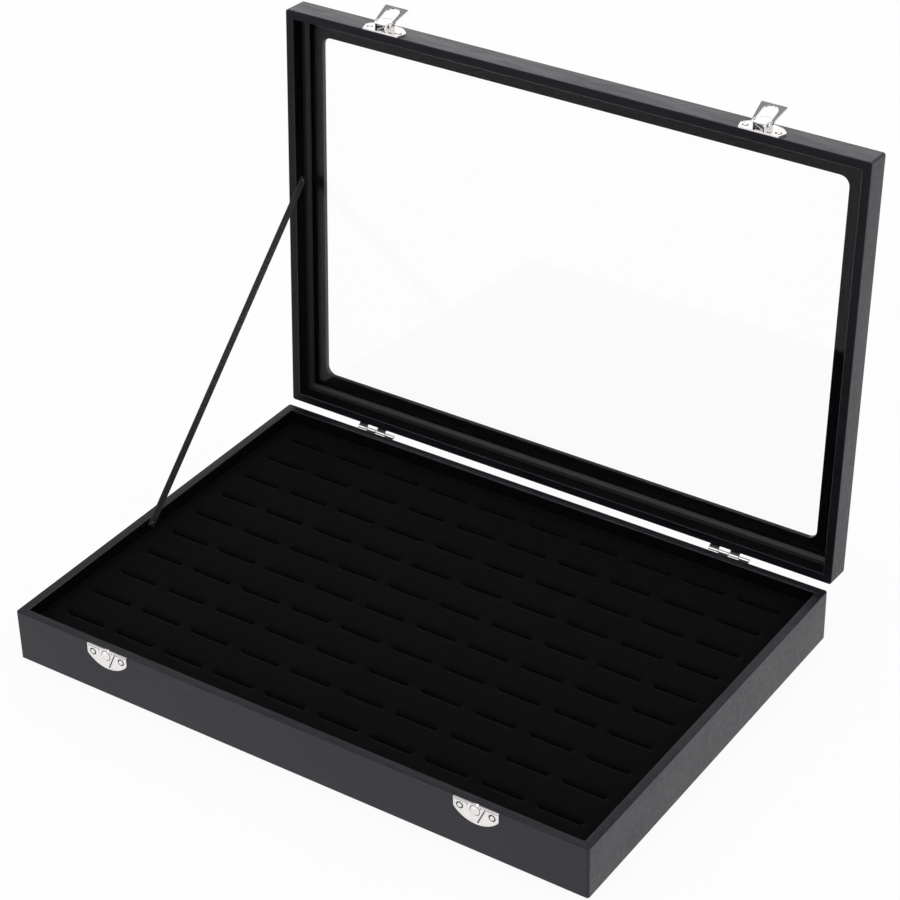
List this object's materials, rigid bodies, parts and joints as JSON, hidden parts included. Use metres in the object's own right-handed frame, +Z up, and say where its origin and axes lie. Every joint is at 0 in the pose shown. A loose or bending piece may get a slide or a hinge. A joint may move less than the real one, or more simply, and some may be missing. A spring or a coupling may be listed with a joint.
{
  "type": "ring display box",
  "caption": "Hinged display case with a velvet pad of slits for rings, a clear lid window, two snap latches and a ribbon stay, covered in leatherette.",
  "frame": {"origin": "centre of the base's underside", "axes": "+X along the box's length, +Y towards the hinges at the back, +Z up"},
  "size_m": [0.35, 0.2783, 0.2816],
  "materials": {
    "leatherette": "grained, satin",
    "velvet": "matt pile",
    "felt": "matt",
    "ribbon": "woven satin",
    "foam": "matt open cell",
    "board": "raw fibre board",
    "card": "grey card",
    "bead": "black lacquer",
    "glass": "clear, polished",
    "nickel": "bright nickel plate",
    "spring_steel": "plain sheet",
    "black_metal": "black enamel, satin"
  },
  "bodies": {
    "base": {"base_front_wall": "board", "base_back_wall": "board", "base_left_wall": "board", "base_right_wall": "board", "base_bottom_panel": "board", "base_cover": "leatherette", "underside_felt": "felt", "tray_board": "card", "ring_pad_foam": "foam", "ring_pad_velvet": "velvet", "catch_plate_left": "nickel", "catch_plate_right": "nickel", "hinge_left_base_leaf": "nickel", "hinge_right_base_leaf": "nickel", "hinge_left_pin": "nickel", "hinge_right_pin": "nickel", "stay_lower_tack": "black_metal", "stay_ribbon": "ribbon"},
    "lid": {"lid_front_rail": "board", "lid_back_rail": "board", "lid_left_rail": "board", "lid_right_rail": "board", "lid_window_board": "board", "lid_cover": "leatherette", "lid_glass": "glass", "glass_bead_front": "bead", "glass_bead_back": "bead", "glass_bead_left": "bead", "glass_bead_right": "bead", "hinge_left_lid_leaf": "nickel", "hinge_right_lid_leaf": "nickel", "latch_plate_left": "nickel", "latch_plate_right": "nickel", "latch_spring_left": "spring_steel", "latch_spring_right": "spring_steel", "stay_upper_tack": "black_metal"},
    "flap_left": {"latch_flap_left": "nickel", "latch_pin_left": "nickel"},
    "flap_right": {"latch_flap_right": "nickel", "latch_pin_right": "nickel"}
  },
  "joints": [
    {"name": "lid_hinge", "type": "hinge", "parent": "base", "child": "lid", "pos_m": [0, 0.1227, 0.0301], "axis": [1, 0, 0], "range_deg": [0, 93.3], "deforming": ["stay_ribbon"]},
    {"name": "latch_left", "type": "hinge", "parent": "lid", "child": "flap_left", "pos_m": [-0.113, 0.1422, 0.27619], "axis": [1, 0, 0], "range_deg": [0, 160]},
    {"name": "latch_right", "type": "hinge", "parent": "lid", "child": "flap_right", "pos_m": [0.113, 0.1422, 0.27619], "axis": [1, 0, 0], "range_deg": [0, 160]}
  ]
}
